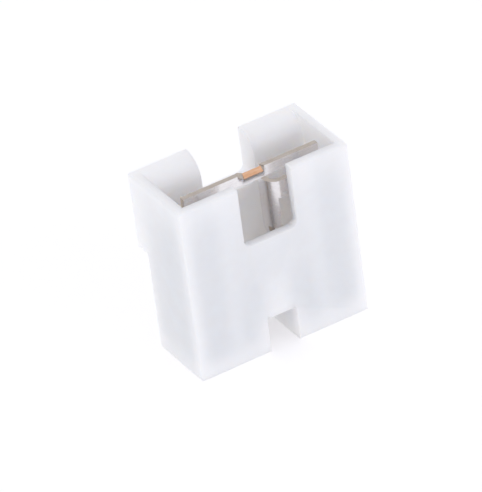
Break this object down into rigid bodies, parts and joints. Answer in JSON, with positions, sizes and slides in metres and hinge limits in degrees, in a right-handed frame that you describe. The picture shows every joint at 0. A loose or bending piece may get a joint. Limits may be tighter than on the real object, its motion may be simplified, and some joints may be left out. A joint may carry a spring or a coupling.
{
  "type": "jumper shunt",
  "caption": "Open-top white jumper shunt that bridges a pair of header pins: a thin-walled moulded housing with slots and a finger ledge, over one stamped contact.",
  "frame": {"origin": "middle of the overall width and depth, on the bottom face that meets the header", "axes": "+X along the row of pins, +Y from the plain front wall to the finger ledge, +Z away from the header"},
  "size_m": [0.005, 0.0026, 0.005],
  "materials": {
    "moulded_nylon": "satin, injection moulded",
    "tinned_bronze": "bright tin plate over phosphor bronze"
  },
  "bodies": {
    "root": {"housing": "moulded_nylon", "contact": "tinned_bronze"}
  },
  "joints": []
}
